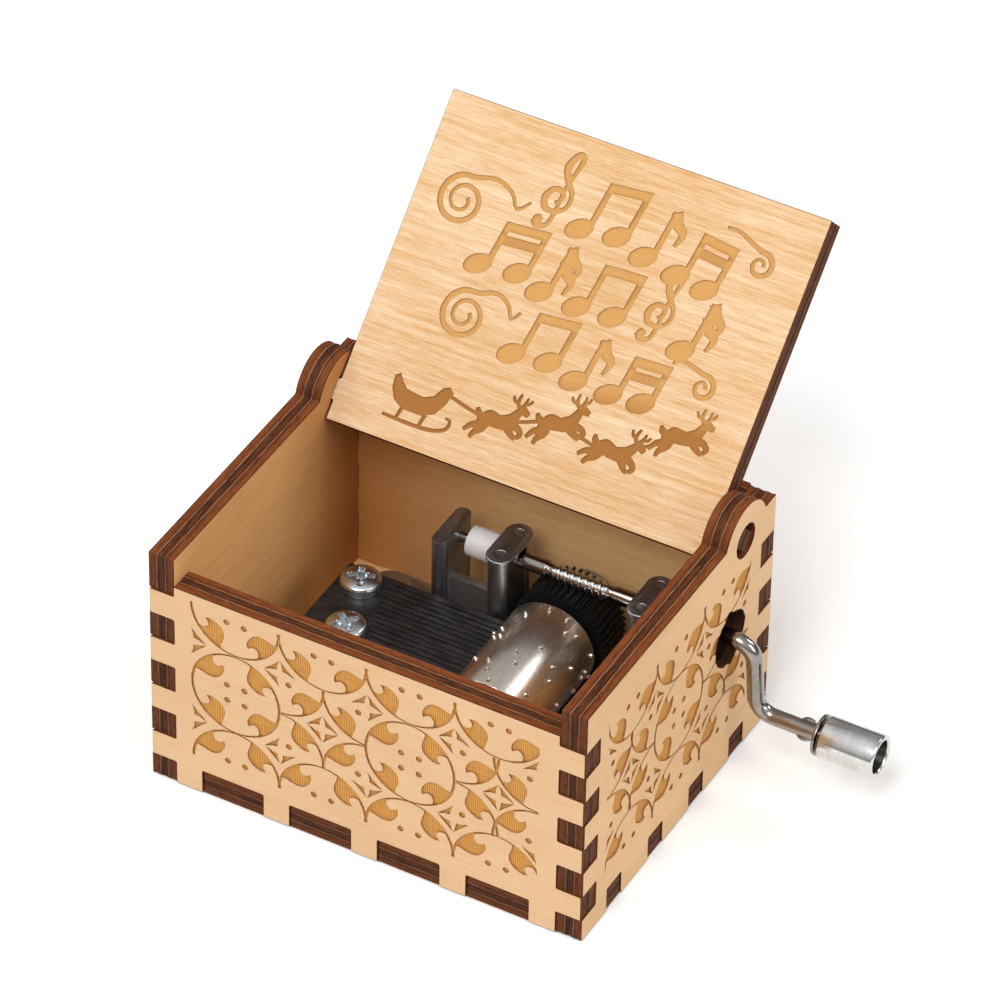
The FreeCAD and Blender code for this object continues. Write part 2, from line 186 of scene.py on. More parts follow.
def spread(tree, value, low, high, newLow=0.0, newHigh=1.0):
    node = addNode(tree, "MapRange", Value=value)
    node.inputs["From Min"].default_value = low
    node.inputs["From Max"].default_value = high
    node.inputs["To Min"].default_value = newLow
    node.inputs["To Max"].default_value = newHigh
    return node.outputs["Result"]


def blendColour(tree, amount, first, second, kind="MIX"):
    node = tree.nodes.new("ShaderNodeMix")
    node.data_type = "RGBA"
    node.blend_type = kind
    setSocket(tree, node.inputs[0], amount)
    for socket, colour in ((node.inputs[6], first), (node.inputs[7], second)):
        setSocket(tree, socket, colour if hasattr(colour, "links") else (*colour, 1))
    return node.outputs[2]


def bumped(tree, shader, height, strength, distance):
    node = addNode(tree, "Bump", Height=height)
    node.inputs["Strength"].default_value = strength
    node.inputs["Distance"].default_value = distance * mm
    tree.links.new(node.outputs["Normal"], shader.inputs["Normal"])


def paint(tree, shader, colour, rough=None, gloss=0.5):
    tree.links.new(colour, shader.inputs["Base Color"])
    shader.inputs["Specular IOR Level"].default_value = gloss
    if rough:
        tree.links.new(rough, shader.inputs["Roughness"])


def attribute(tree, name, output):
    node = tree.nodes.new("ShaderNodeAttribute")
    node.attribute_name = name
    return node.outputs[output]


def boardSpot(tree):
    return attribute(tree, "boardSpot", "Vector")


def objectSpot(tree):
    return vectorNode(tree, "MULTIPLY", addNode(tree, "TexCoord").outputs["Object"], (1 / mm,) * 3)


def parted(tree, vector):
    node = addNode(tree, "SeparateXYZ", Vector=vector)
    return node.outputs["X"], node.outputs["Y"], node.outputs["Z"]


# birch ply materials
birch = dict(
    front=dict(pale=(0.63, 0.41, 0.226), deep=(0.54, 0.32, 0.15), streak=0.6),
    side=dict(pale=(0.65, 0.405, 0.198), deep=(0.52, 0.3, 0.13), streak=0.6),
    lid=dict(pale=(0.685, 0.51, 0.325), deep=(0.54, 0.285, 0.095), streak=1.0),
    inner=dict(pale=(0.68, 0.36, 0.13), deep=(0.5, 0.24, 0.075), streak=0.55),
    # innerLeft and innerBack carry painted shade: a darker colour blended in toward one end of the board,
    # standing in for shade inside the box
    innerLeft=dict(pale=(0.73, 0.405, 0.16), deep=(0.54, 0.27, 0.09), streak=0.55,
                   painted_shade_span=(-1, -19), painted_shade=(0.37, 0.125, 0.022)),
    innerBack=dict(pale=(0.8, 0.5, 0.24), deep=(0.56, 0.3, 0.115), streak=0.65,
                   painted_shade_span=(2, 26), painted_shade=(0.37, 0.125, 0.022)),
)


def birchFace(name, look, shift):
    material, tree, shader = newMaterial("birch_" + name, rough=0.58)
    spot = vectorNode(tree, "ADD", boardSpot(tree), shift)
    bands = streaky(tree, spot, (0.045, 1.5, 0.3), 6.0, 0.72)
    fibres = streaky(tree, spot, (0.3, 6.0, 2.0), 4.0, 0.7)
    clouds = streaky(tree, spot, (0.05, 0.09, 0.1), 2.0)
    pores = noise(tree, vectorNode(tree, "MULTIPLY", spot, (0.9, 7.5, 3.0)), 1.3, 1.0)
    grain = times(tree, plus(tree, bands, fibres), 0.5)
    tone = times(tree, spread(tree, grain, 0.41, 0.63), look["streak"])
    tone = plus(tree, tone, spread(tree, clouds, 0.35, 0.65, 0.0, 0.3), clamp=True)
    colour = blendColour(tree, tone, look["pale"], look["deep"])
    flecks = spread(tree, pores, 0.66, 0.74, 0.0, 0.42)
    colour = blendColour(tree, flecks, colour, tuple(0.62 * v for v in look["deep"]))
    if "painted_shade_span" in look:  # painted shade: the board is painted darker toward one end (the back of the left wall, the left end of the back wall), standing in for shade inside the box
        painted_shade = spread(tree, parted(tree, boardSpot(tree))[0], look["painted_shade_span"][0], look["painted_shade_span"][1], 0.0, 0.8)
        colour = blendColour(tree, painted_shade, colour, look["painted_shade"])
    gloss = 0.25 if "painted_shade_span" in look else 0.5
    paint(tree, shader, colour, spread(tree, fibres, 0.3, 0.7, 0.5, 0.68), gloss)
    bumped(tree, shader, plus(tree, fibres, pores), 0.35, 0.03)
    return material


def scorchedEdge(name="scorched_ply_edge", hole=None):
    material, tree, shader = newMaterial(name, rough=0.55)
    spot = boardSpot(tree)
    across, up, inward = parted(tree, spot)
    depth = mathNode(tree, "DIVIDE", inward, -box["ply"])
    wander = streaky(tree, spot, (0.5, 0.5, 0.5), 2.0)
    depth = plus(tree, depth, spread(tree, wander, 0.3, 0.7, -0.012, 0.012))
    plies = ramp(tree, depth, [
        (0.00, (0.042, 0.012, 0.005)), (0.07, (0.178, 0.046, 0.012)), (0.25, (0.14, 0.034, 0.009)),
        (0.295, (0.03, 0.01, 0.005)), (0.325, (0.41, 0.19, 0.078)), (0.36, (0.02, 0.008, 0.005)),
        (0.5, (0.048, 0.015, 0.008)), (0.63, (0.02, 0.008, 0.005)), (0.665, (0.37, 0.165, 0.064)),
        (0.7, (0.03, 0.01, 0.005)), (0.78, (0.144, 0.036, 0.01)), (0.94, (0.178, 0.047, 0.013)),
        (1.00, (0.042, 0.012, 0.005))])
    streaks = streaky(tree, spot, (0.3, 0.3, 6.5), 4.0, 0.7)
    char = streaky(tree, spot, (0.7, 0.7, 3.0), 4.0, 0.65)
    colour = blendColour(tree, spread(tree, streaks, 0.42, 0.66, 0.0, 0.6), plies, (0.23, 0.068, 0.02))
    colour = blendColour(tree, spread(tree, streaks, 0.3, 0.44, 0.7, 0.0), colour, (0.014, 0.006, 0.004))
    colour = blendColour(tree, spread(tree, char, 0.5, 0.72, 0.0, 0.55), colour, (0.02, 0.009, 0.006))
    # painted shade: cut faces are painted darker the less they face up, so upright cuts look shaded
    rise = parted(tree, addNode(tree, "TexCoord").outputs["Normal"])[2]
    colour = blendColour(tree, spread(tree, rise, 0.3, 0.8, 0.42, 0.0), colour, (0.022, 0.008, 0.004))
    if hole:  # the burnt-out crank hole is charred nearly black
        sides = [mathNode(tree, "SUBTRACT", side, middle) for side, middle in zip((across, up), hole)]
        squares = [times(tree, side, side) for side in sides]
        away = mathNode(tree, "SQRT", plus(tree, *squares))
        colour = blendColour(tree, spread(tree, away, 7.0, 5.5, 0.0, 0.72), colour, (0.016, 0.006, 0.003))
    paint(tree, shader, colour, spread(tree, char, 0.3, 0.7, 0.55, 0.8), 0.1)
    bumped(tree, shader, streaks, 0.8, 0.1)
    return material


def engravedFloor(name, burnt, line, rim, pitch, darkBelow=None):
    material, tree, shader = newMaterial("engraved_" + name, rough=0.75)
    spot = boardSpot(tree)
    across, up = parted(tree, spot)[:2]
    wave = mathNode(tree, "SINE", times(tree, across, 2 * math.pi / pitch))
    fibres = streaky(tree, spot, (0.4, 5.0, 1.0))
    colour = blendColour(tree, spread(tree, wave, 0.0, 0.8, 0.0, 0.85), burnt, line)
    colour = blendColour(tree, spread(tree, fibres, 0.4, 0.7, 0.0, 0.35), colour, line)
    rimShare = 0.3 if darkBelow else 0.8
    border = spread(tree, attribute(tree, "scorch", "Fac"), 0.6, 1.0, 0.0, rimShare)
    colour = blendColour(tree, border, colour, rim)
    if darkBelow:  # the lowest motif is burnt deeper
        height = plus(tree, up, times(tree, across, -0.13))
        low = spread(tree, height, darkBelow + 2.0, darkBelow - 2.0, 0.0, 0.8)
        colour = blendColour(tree, low, colour, (0.62 * line[0], 0.47 * line[1], 0.32 * line[2]))
    paint(tree, shader, colour, gloss=0.1)
    bumped(tree, shader, wave, 0.3, 0.04)
    return material


def grooveSide(name, pale, dark):
    material, tree, shader = newMaterial("groove_side_" + name, rough=0.75)
    soot = noise(tree, boardSpot(tree), 1.5, 3.0)
    paint(tree, shader, blendColour(tree, spread(tree, soot, 0.35, 0.65), pale, dark))
    return material


# boards: outline, engraving and mesh
plyRelief = [(0.16, 0.09), (0.27, 0.03), (0.32, 0.0), (0.37, 0.05), (0.5, 0.12), (0.62, 0.05), (0.67, 0.0),
             (0.72, 0.04), (0.84, 0.09)]  # depth through the board, how far the cut is burnt in
cutting = dict(chamfer=0.09, scorchLine=0.13)
everywhere = float("inf")


def circle(count):
    return [2 * math.pi * k / count for k in range(count)]


def ray(angle):
    return Vector((math.cos(angle), math.sin(angle)))


def boardPlace(origin, across, up):
    across, up = Vector(across), Vector(up)
    turn = Matrix((across, up, across.cross(up))).transposed().to_4x4()
    return Matrix.Translation(Vector(origin) * mm) @ turn @ Matrix.Scale(mm, 4)


def readOutline(nodeName, place):
    # loops of the face that looks along the board's outward side, in the board's own millimetres
    data = nodes[nodeName].data
    inverse = place.inverted()
    outward = (place.to_3x3() @ Vector((0, 0, 1))).normalized()
    points = [inverse @ v.co for v in data.vertices]
    follow = set()
    for face in data.polygons:
        ring = list(face.vertices)
        if face.normal.dot(outward) < 0.99 or abs(points[ring[0]].z) > 0.05:
            continue
        keys = [(round(points[i].x, 3), round(points[i].y, 3)) for i in ring]
        for a, b in zip(keys, keys[1:] + keys[:1]):
            if (b, a) in follow:
                follow.discard((b, a))
            else:
                follow.add((a, b))
    step = dict(sorted(follow))
    loops = []
    while step:
        start = min(step)
        loop, spot = [], start
        while spot in step:
            loop.append(Vector(spot))
            spot = step.pop(spot)
        loops.append(dropStraight(loop))
    return sorted(loops, key=lambda loop: -abs(areaOf(loop)))


def areaOf(loop):
    return sum(a.cross(b) for a, b in zip(loop, loop[1:] + loop[:1])) / 2


def dropStraight(loop):
    kept = []
    for i, b in enumerate(loop):
        a, c = loop[i - 1], loop[(i + 1) % len(loop)]
        if abs((b - a).cross(c - b)) > 1e-4:
            kept.append(b)
    return kept


def roundCorners(loop, radius):
    out = []
    for i, b in enumerate(loop):
        a, c = loop[i - 1], loop[(i + 1) % len(loop)]
        into, away = b - a, c - b
        turn = into.angle(away)
        if turn < math.radians(25):
            out.append(b)
            continue
        cut = min(radius * math.tan(turn / 2), 0.4 * into.length, 0.4 * away.length)
        p, q = b - into.normalized() * cut, b + away.normalized() * cut
        for k in range(5):
            t = k / 4
            out.append(p * (1 - t) ** 2 + b * 2 * t * (1 - t) + q * t * t)
    return out


def insetLoop(loop, gap):
    out = []
    for i, b in enumerate(loop):
        a, c = loop[i - 1], loop[(i + 1) % len(loop)]
        into, away = (b - a).normalized(), (c - b).normalized()
        one, two = Vector((-into.y, into.x)), Vector((-away.y, away.x))
        out.append(b + (one + two) / max(0.25, 1 + one.dot(two)) * gap)
    return out


def insideTest(loops):
    # how many loops hold a point: one on the board, two in a hole
    boxes = [(min(p.x for p in loop), max(p.x for p in loop), min(p.y for p in loop), max(p.y for p in loop),
              [(a.x, a.y, b.x, b.y) for a, b in zip(loop, loop[1:] + loop[:1])]) for loop in loops]

    def count(point):
        x, y = point.x, point.y
        total = 0
        for lowX, highX, lowY, highY, sides in boxes:
            if lowX < x < highX and lowY < y < highY:
                winding = 0
                for ax, ay, bx, by in sides:
                    if ay <= y < by and (bx - ax) * (y - ay) > (x - ax) * (by - ay):
                        winding += 1
                    elif by <= y < ay and (bx - ax) * (y - ay) < (x - ax) * (by - ay):
                        winding -= 1
                total += winding != 0
        return total
    return count


def buildBoard(name, place, loops, materials, carvings=(), depth=0.0, sink=None):
    spots, faces, kinds, scorch = [], [], [], []
    thick, chamfer = box["ply"], cutting["chamfer"]

    def addSpot(u, v, w):
        spots.append((u, v, w))
        scorch.append(0.0)
        return len(spots) - 1

    def triangles(rings, extraPoints=()):
        coords, sides = [], []
        for ring in rings:
            first = len(coords)
            coords += [Vector((p[0], p[1])) for p in ring]
            sides += [(first + k, first + (k + 1) % len(ring)) for k in range(len(ring))]
        result = delaunay_2d_cdt(coords + list(extraPoints), sides, [], 0, 1e-5, False)
        return result[0], result[2]

    # carved face
    outer = [insetLoop(loop, chamfer) for loop in loops]
    loosePoints = []
    for shape in carvings:
        loosePoints += insetLoop(shape if areaOf(shape) > 0 else shape[::-1], cutting["scorchLine"])
    coords, tris = triangles(outer + list(carvings), loosePoints)
    onBoard, inCarving = insideTest(outer), insideTest(carvings)
    top, low, side = {}, {}, {}
    for tri in tris:
        middle = (coords[tri[0]] + coords[tri[1]] + coords[tri[2]]) / 3
        if onBoard(middle) != 1:
            continue
        carved = inCarving(middle) > 0
        store = low if carved else top
        for i in tri:
            if i not in store:
                store[i] = addSpot(coords[i].x, coords[i].y, -depth if carved else 0.0)
        faces.append([store[i] for i in tri])
        kinds.append(2 if carved else 0)
        for a, b in zip(tri, tri[1:] + tri[:1]):
            side[(a, b)] = carved
    for (a, b), carved in side.items():
        if carved and not side.get((b, a), False):
            for i in (a, b):
                scorch[low[i]] = 1.0
                if i not in top:
                    top[i] = addSpot(coords[i].x, coords[i].y, 0.0)
            faces.append([low[b], low[a], top[a], top[b]])
            kinds.append(3)
    # cut edges, with a small break at both faces
    back = []
    for number, loop in enumerate(loops):
        small = insetLoop(loop, chamfer)
        rings = [(small, 0.0), (loop, -chamfer)]
        rings += [(insetLoop(loop, burnt), -thick * t) for t, burnt in plyRelief]
        rings += [(loop, -thick + chamfer), (small, -thick)]
        if sink and number > 0:
            centre = sum(loop, Vector((0, 0))) / len(loop)
            wide = [centre + (p - centre).normalized() * sink[0] for p in loop]
            rings = [(small, 0.0), (loop, -chamfer), (loop, -thick + sink[1]), (wide, -thick)]
        back.append(rings[-1][0])
        index = [[addSpot(p.x, p.y, w) for p in ring] for ring, w in rings]
        for one, two in zip(index, index[1:]):
            for k in range(len(one)):
                n = (k + 1) % len(one)
                faces.append([one[n], one[k], two[k], two[n]])
                kinds.append(1)
    # plain far face
    coords, tris = triangles(back)
    onBack = insideTest(back)
    far = {}
    for tri in tris:
        if onBack((coords[tri[0]] + coords[tri[1]] + coords[tri[2]]) / 3) == 1:
            for i in tri:
                if i not in far:
                    far[i] = addSpot(coords[i].x, coords[i].y, -thick)
            faces.append([far[i] for i in reversed(tri)])
            kinds.append(4)
    mesh = bpy.data.meshes.new(name)
    mesh.from_pydata([place @ Vector(s) for s in spots], [], faces)
    spotData = mesh.attributes.new("boardSpot", "FLOAT_VECTOR", "POINT")
    spotData.data.foreach_set("vector", [c for s in spots for c in s])
    scorchData = mesh.attributes.new("scorch", "FLOAT", "POINT")
    scorchData.data.foreach_set("value", scorch)
    for material in materials:
        mesh.materials.append(material)
    mesh.polygons.foreach_set("material_index", kinds)
    mesh.shade_smooth()
    mesh.set_sharp_from_angle(angle=math.radians(35))
    mesh.update()
    return linked(name, mesh)


def putOn(piece, body, slot, *replaced):
    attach(piece, body)
    if replaced:
        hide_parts(*replaced)


# the scroll pattern on the box walls
scroll = dict(ring=6.5, thickSide=0.42, thickTop=0.2, dotPlace=1.3, dotSize=0.47,
              diamondWide=2.35, diamondTall=2.25)
leafLine = [(-5.37, -3.33), (-4.74, -3.43), (-4.16, -3.14), (-3.97, -2.56), (-4.43, -1.83), (-3.67, -1.68),
            (-2.8, -2.02), (-2.02, -2.65), (-1.68, -3.43), (-1.73, -4.3), (-2.02, -5.18), (-2.22, -6.05)]
leafSharp = {0, 4, 11}
quarterTurn = dict(lowLeft=lambda x, y: (x, y), lowRight=lambda x, y: (-y, x),
                   highRight=lambda x, y: (-x, -y), highLeft=lambda x, y: (y, -x))
quarterSign = dict(lowLeft=(-1, -1), lowRight=(1, -1), highRight=(1, 1), highLeft=(-1, 1))
petal = [(0, 1.0), (0.1, 0.78), (0.16, 0.54), (0.17, 0.27), (0.51, 0.2), (0.75, 0.09), (1.0, 0)]


def throughPoints(points, steps):
    # smooth line through the points, ends included
    line = []
    for i in range(len(points) - 1):
        p0, p1 = points[max(i - 1, 0)], points[i]
        p2, p3 = points[i + 1], points[min(i + 2, len(points) - 1)]
        for k in range(steps):
            t = k / steps
            line.append((p1 * 2 + (p2 - p0) * t + (p0 * 2 - p1 * 5 + p2 * 4 - p3) * t * t
                         + (p1 * 3 - p0 - p2 * 3 + p3) * t ** 3) / 2)
    return line + [points[-1]]


def leafShape():
    points = [Vector(p) for p in leafLine]
    cuts = sorted(leafSharp)
    line = []
    for a, b in zip(cuts, cuts[1:]):
        line += throughPoints(points[a:b + 1], 2)[:-1]
    line.append(points[-1])
    start = math.atan2(points[-1].y, points[-1].x)
    end = math.atan2(points[0].y, points[0].x)
    return line + [ray(start + (end - start) * k / 6) * scroll["ring"] for k in range(1, 6)]


def arcShape():
    # quarter of the ring, thicker where it runs upright
    outer, inner = [], []
    for k in range(13):
        angle = math.pi + math.pi / 2 * k / 12
        half = (scroll["thickTop"] + (scroll["thickSide"] - scroll["thickTop"]) * abs(math.cos(angle))) / 2
        outer.append(ray(angle) * (scroll["ring"] + half))
        inner.append(ray(angle) * (scroll["ring"] - half))
    return outer + inner[::-1]


def dotShape(x, y):
    size = scroll["dotSize"]
    return [Vector((x + size * math.cos(a), y + size * math.sin(a))) for a in circle(12)]


def ringQuarter(centre, quarter):
    turn = quarterTurn[quarter]
    shapes = [[Vector(turn(p.x, p.y)) for p in shape] for shape in (leafShape(), arcShape())]
    sx, sy = quarterSign[quarter]
    if sx * sy < 0:  # upright parts of the ring stay the thick ones
        shapes[1] = [Vector((-sx * p.x, -sy * p.y)) for p in arcShape()]
    shapes.append(dotShape(sx * scroll["dotPlace"], sy * scroll["dotPlace"]))
    return [[p + Vector(centre) for p in shape] for shape in shapes]


def diamond(centre, without=()):
    shapes = []
    for quarter, (sx, sy) in quarterSign.items():
        if quarter in without:
            shapes.append(dotShape(centre[0] + sx * scroll["dotPlace"], centre[1] + sy * scroll["dotPlace"]))
        else:
            shapes.append([Vector((centre[0] + sx * x * scroll["diamondWide"],
                                   centre[1] + sy * y * scroll["diamondTall"])) for x, y in petal])
    return shapes


def clipped(shape, lowU, highU, lowV, highV):
    for axis, sign, limit in ((0, 1, lowU), (0, -1, -highU), (1, 1, lowV), (1, -1, -highV)):
        out = []
        for a, b in zip(shape, shape[1:] + shape[:1]):
            da, db = sign * a[axis] - limit, sign * b[axis] - limit
            if da >= 0:
                out.append(a)
            if da * db < 0:
                out.append(a + (b - a) * (da / (da - db)))
        shape = out
        if len(shape) < 3:
            return None
    return shape


def scrollPattern(columns, bounds, rows, starColumns):
    # rings in a grid; the star columns have a diamond between four rings instead of a full ring
    top, middle, bottom = rows
    upper, lower = middle + (top - bottom) / 4, middle - (top - bottom) / 4
    missing = {}
    shapes = []
    for k, centre in enumerate(columns):
        shapes += ringQuarter((centre, top), "lowLeft") + ringQuarter((centre, top), "lowRight")
        shapes += ringQuarter((centre, bottom), "highLeft") + ringQuarter((centre, bottom), "highRight")
        if k in starColumns:
            shapes += diamond((centre, middle))
            corners = ((k, upper, "lowRight"), (k + 1, upper, "lowLeft"),
                       (k, lower, "highRight"), (k + 1, lower, "highLeft"))
            for edge, height, quarter in corners:
                shapes += ringQuarter((bounds[edge], height), quarter)[:2]
                missing.setdefault((edge, height), set()).add(quarter)
        else:
            for quarter in quarterTurn:
                shapes += ringQuarter((centre, middle), quarter)
    for edge, place in enumerate(bounds):
        for height in (upper, lower):
            shapes += diamond((place, height), missing.get((edge, height), ()))
    cut = [clipped(shape, bounds[0], bounds[-1], bottom, top) for shape in shapes]
    return [shape for shape in cut if shape and abs(areaOf(shape)) > 0.01]


# box walls
walls = dict(cornerRound=0.22, baseRound=0.2, endGap=0.13, carveDepth=0.25, hatchPitch=0.26,
             screwSink=(2.5, 1.25))
wideGrid = dict(columns=[12.92, 25.82, 38.72, 51.62], bounds=[6.25, 19.5, 32.4, 45.1, 57.4],
                rows=(32.5, 19.25, 6.1), stars={1, 3})
deepGrid = dict(columns=[12.33, 25.2, 37.96], bounds=[6.0, 18.6, 31.75, 44.2], rows=(33.0, 19.9, 6.6),
                stars={0, 2})


def gridPattern(grid, half):
    return scrollPattern([c - half for c in grid["columns"]], [b - half for b in grid["bounds"]],
                         grid["rows"], grid["stars"])


def heldLoops(nodeName, place, reachU, reachV, cornerRound):
    loops = []
    for loop in readOutline(nodeName, place):
        held = [Vector((max(-reachU, min(reachU, p.x)), max(-reachV, min(reachV, p.y)))) for p in loop]
        loops.append(roundCorners(held, cornerRound))
    return loops


def raggedHole(loop):
    # the hole for the crank is burnt out unevenly, with a nick at the top and the bottom
    centre = sum(loop, Vector((0, 0))) / len(loop)
    draw = random.Random(7)
    count = 96
    drift = [draw.uniform(0, 2 * math.pi) for _ in range(4)]
    size = (loop[0] - centre).length
    out = []
    for k in range(count):
        a = -2 * math.pi * k / count
        wobble = sum(math.sin(a * n + drift[n % 4]) / n ** 0.7 for n in (3, 5, 9, 14, 23)) * 0.14
        nick = 0.75 * math.exp(-((math.sin((a - math.radians(97)) / 2)) / 0.1) ** 2)
        nick += 0.55 * math.exp(-((math.sin((a + math.radians(82)) / 2)) / 0.09) ** 2)
        out.append(centre + ray(a) * (size + wobble + nick + draw.uniform(-0.09, 0.09)))
    return out


def makeWalls():
    edge = scorchedEdge()
    charred = scorchedEdge("charred_hole_edge", (shaft["y"], shaft["z"]))
    fill = engravedFloor("wall", (0.6, 0.3, 0.075), (0.3, 0.115, 0.026), (0.23, 0.082, 0.02),
                         walls["hatchPitch"])
    groove = grooveSide("wall", (0.43, 0.2, 0.068), (0.27, 0.105, 0.03))
    faceFront = birchFace("front", birch["front"], (3, 11, 0))
    faceSide = birchFace("side", birch["side"], (40, 57, 9))
    inner = birchFace("inner_side", birch["inner"], (90, 20, 4))
    innerLeft = birchFace("inner_left", birch["innerLeft"], (90, 20, 4))
    innerBack = birchFace("inner_back", birch["innerBack"], (140, 33, 8))
    wide, deep = box["halfWide"], box["halfDeep"]
    plan = [
        ("front_wall", "front_panel", (0, -deep, 0), (1, 0, 0), wide, faceFront, inner, wideGrid),
        ("back_wall", "back_panel", (0, deep, 0), (-1, 0, 0), wide, faceFront, innerBack, wideGrid),
        ("left_wall", "left_panel", (-wide, 0, 0), (0, -1, 0), deep, faceSide, innerLeft, deepGrid),
        ("right_wall", "right_panel", (wide, 0, 0), (0, 1, 0), deep, faceSide, inner, deepGrid),
    ]
    for name, node, origin, across, half, outside, inside, grid in plan:
        place = boardPlace(origin, across, (0, 0, 1))
        loops = heldLoops(node, place, half - walls["endGap"], everywhere, walls["cornerRound"])
        cut = edge
        if node == "right_panel":
            loops[1] = raggedHole(loops[1])
            cut = charred
        wall = buildBoard(name, place, loops, [outside, cut, fill, groove, inside],
                          gridPattern(grid, half), walls["carveDepth"])
        putOn(wall, "root", "birch_ply", node)
    # base, seen from above inside the box and at its tabs
    place = boardPlace((0, 0, box["ply"]), (1, 0, 0), (0, 1, 0))
    gap = walls["endGap"]
    loops = heldLoops("base_panel", place, wide - gap, deep - gap, walls["baseRound"])
    base = buildBoard("base_board", place, loops, [innerBack, edge, fill, groove, faceFront],
                      sink=walls["screwSink"])
    putOn(base, "root", "birch_ply", "base_panel")
    return edge


# lid with its engraving
lid = dict(cornerRound=0.25, carveDepth=0.22, hatchPitch=0.24, left=-28.0, far=42.4, darkBelow=9.5)


def brush(points, widths, steps=6):
    # a pen stroke: smooth line with its own width at each point
    line = throughPoints([Vector(p) for p in points], steps)
    left, right = [], []
    last = len(line) - 1
    for i, p in enumerate(line):
        ahead = (line[min(i + 1, last)] - line[max(i - 1, 0)]).normalized()
        place = i / last * (len(widths) - 1)
        k = min(int(place), len(widths) - 2)
        half = (widths[k] + (widths[k + 1] - widths[k]) * (place - k)) / 2
        side = Vector((-ahead.y, ahead.x)) * half
        left.append(p + side)
        right.append(p - side)
    return left + right[::-1]


def curl(centre, size, start, turns, lead, width=0.85):
    # spiral that winds inwards, with a lead-in line
    points = [Vector(p) for p in lead]
    steps = max(8, int(abs(turns) * 10))
    for k in range(steps + 1):
        t = k / steps
        angle = math.radians(start) + 2 * math.pi * turns * t
        points.append(Vector(centre) + ray(angle) * size * (1 - 0.78 * t))
    return brush(points, (width * 0.5, width, width * 0.9, width * 0.6, width * 0.7), 3)


def oval(x, y, long, short, tilt):
    turn = Matrix.Rotation(math.radians(tilt), 2)
    return [turn @ Vector((long * math.cos(a), short * math.sin(a))) + Vector((x, y)) for a in circle(18)]


def note(x, y, tall=7.4, flag=0):
    shapes = [oval(x, y, 1.95, 1.45, 24)]
    shapes.append([Vector(p) for p in ((x + 0.75, y + 0.2), (x + 1.65, y + 0.5),
                                       (x + 1.65, y + tall), (x + 0.75, y + tall))])
    for k in range(flag):
        drop = y + tall - 1.9 * k
        shapes.append(brush([(x + 1.2, drop), (x + 2.1, drop - 1.5), (x + 3.4, drop - 2.6),
                             (x + 3.1, drop - 4.4)], (1.5, 1.5, 1.1, 0.5)))
    return shapes


def pairOfNotes(x, y, gap=4.6, rise=0.9, tall=7.0, bars=1):
    shapes = note(x, y, tall) + note(x + gap, y + rise, tall)
    for k in range(bars):
        low = y + tall - 1.9 * k
        shapes.append([Vector(p) for p in ((x + 0.75, low - 1.25), (x + gap + 1.65, low + rise - 1.25),
                                           (x + gap + 1.65, low + rise + 0.1), (x + 0.75, low + 0.1))])
    return shapes


def clef(x, y, size=1.0):
    points = [(0.1, -0.9), (0.9, -0.2), (0.4, 0.9), (-0.9, 0.9), (-1.6, -0.4), (-0.9, -1.9), (0.7, -2.2),
              (2.1, -1.1), (1.9, 0.9), (0.4, 2.6), (-0.7, 4.6), (0.0, 6.6), (0.9, 6.2), (0.9, 4.6),
              (0.6, 1.5), (0.9, -2.4), (0.6, -4.3), (-0.6, -4.7), (-1.3, -3.9)]
    line = [(x + px * size, y + py * size) for px, py in points]
    return [brush(line, tuple(size * w for w in (0.5, 0.8, 1.1, 0.8, 0.7, 1.2, 0.9, 0.6, 0.8, 1.3)), 4),
            oval(x - 0.95 * size, y - 3.9 * size, 0.75 * size, 0.75 * size, 0)]


def deer(x, y, size=1.0, lift=0.0):
    # leaping deer seen from the side, facing right: (line, pen widths)
    strokes = [
        ([(-2.7, -0.1), (-1.4, 0.5), (0.2, 0.3), (1.7, 0.6), (2.5, 1.0)], (1.3, 2.5, 2.1, 2.5, 1.5)),
        ([(1.6, 0.5), (2.3, 1.5), (2.9, 2.5), (3.0, 3.0)], (2.3, 1.7, 1.3, 1.1)),
        ([(2.5, 2.9), (3.3, 2.9), (4.5, 2.3)], (1.0, 1.5, 0.8)),
        ([(2.8, 3.1), (2.3, 3.9), (2.6, 5.2)], (0.6, 0.65, 0.4)),
        ([(2.9, 3.1), (3.5, 3.9), (3.7, 4.9)], (0.5, 0.6, 0.35)),
        ([(2.4, 3.7), (1.7, 4.0), (1.4, 4.7)], (0.5, 0.6, 0.35)),
        ([(3.4, 3.7), (4.2, 4.1), (4.5, 4.7)], (0.45, 0.5, 0.35)),
        ([(1.9, 0.3), (3.3, 0.1), (4.0, -0.7), (3.4, -1.4)], (1.7, 1.1, 0.9, 0.6)),
        ([(1.5, 0.1), (2.5, -1.0), (3.4, -1.6)], (1.6, 1.0, 0.6)),
        ([(-2.2, 0.1), (-2.9, -0.9), (-3.9, -1.2), (-4.9, -2.2)], (2.1, 1.4, 0.95, 0.6)),
        ([(-1.9, -0.1), (-2.2, -1.3), (-3.2, -2.2), (-3.6, -3.1)], (1.9, 1.3, 0.9, 0.6)),
        ([(-2.6, 0.2), (-3.3, 0.9), (-3.6, 1.6)], (1.1, 1.1, 0.5))]
    turn = Matrix.Rotation(math.radians(lift), 2)
    return [brush([turn @ (Vector(p) * size) + Vector((x, y)) for p in line], [size * w for w in widths])
            for line, widths in strokes]


